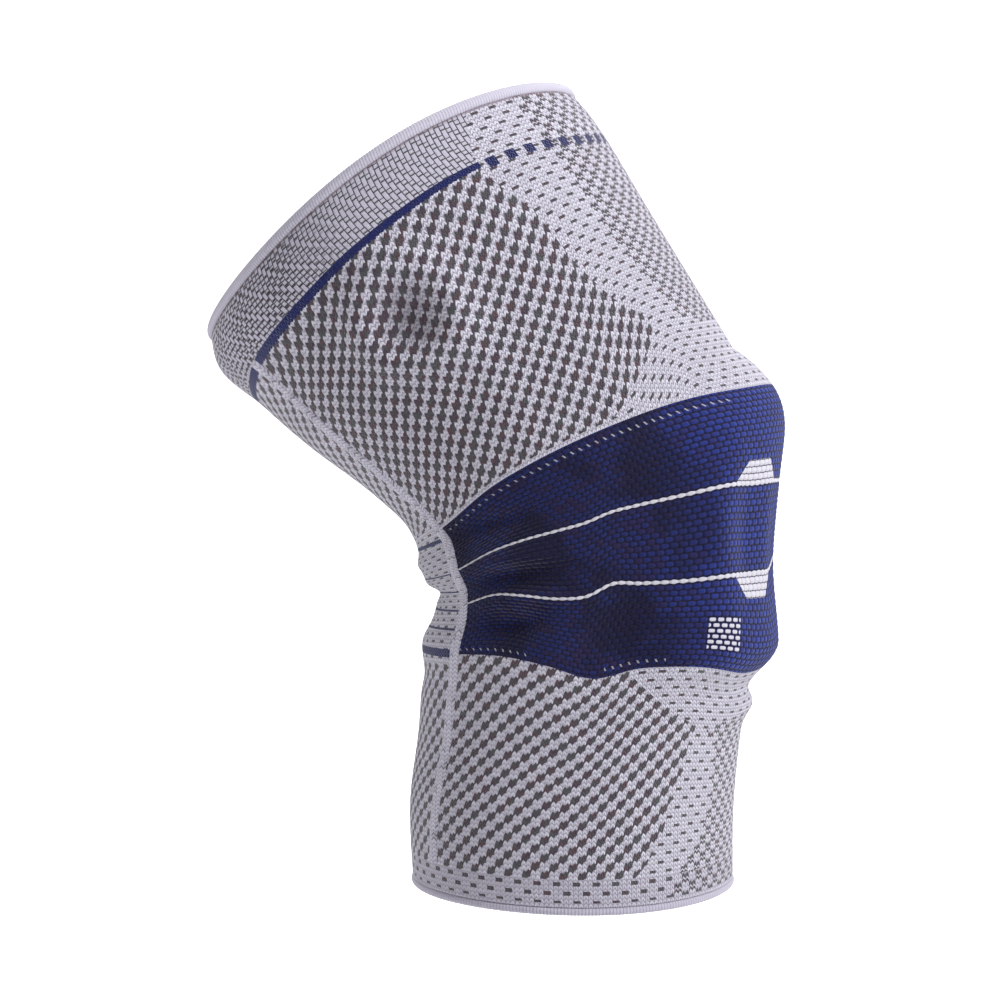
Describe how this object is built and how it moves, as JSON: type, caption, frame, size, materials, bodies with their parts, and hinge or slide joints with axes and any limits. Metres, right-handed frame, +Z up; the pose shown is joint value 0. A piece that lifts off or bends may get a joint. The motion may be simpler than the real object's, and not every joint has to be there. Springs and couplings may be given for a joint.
{
  "type": "knee sleeve",
  "caption": "Knitted knee sleeve in its worn shape: an open tube bent at the knee, with a kneecap pad bulge, a rolled top hem and a back panel between two ribs.",
  "frame": {"origin": "centre of the knee, on the sleeve's middle plane, where the bent leg passes through", "axes": "+Z up along the calf towards the thigh, +X to the front of the knee, +Y to the wearer's left"},
  "size_m": [0.1992, 0.1444, 0.2742],
  "materials": {
    "hem_knit": "smooth fine-ribbed knit",
    "band_knit": "light basket-pattern knit with small dark stitches",
    "pattern_knit": "two-colour houndstooth jacquard knit, pale lavender grey and dark brown grey",
    "navy_knit": "matt navy knit with thin white lines",
    "back_knit": "light knit with rows of small dark dashes and thin navy stripes",
    "rib_knit": "plain pale knit rib",
    "pad_foam": "soft matt elastomer"
  },
  "bodies": {
    "root": {"top_hem": "hem_knit", "top_band": "band_knit", "thigh_panel": "pattern_knit", "knee_panel": "navy_knit", "calf_panel": "pattern_knit", "back_panel": "back_knit", "seam_left": "rib_knit", "seam_right": "rib_knit", "bottom_band": "band_knit", "bottom_hem": "hem_knit", "patella_pad": "pad_foam"}
  },
  "joints": []
}
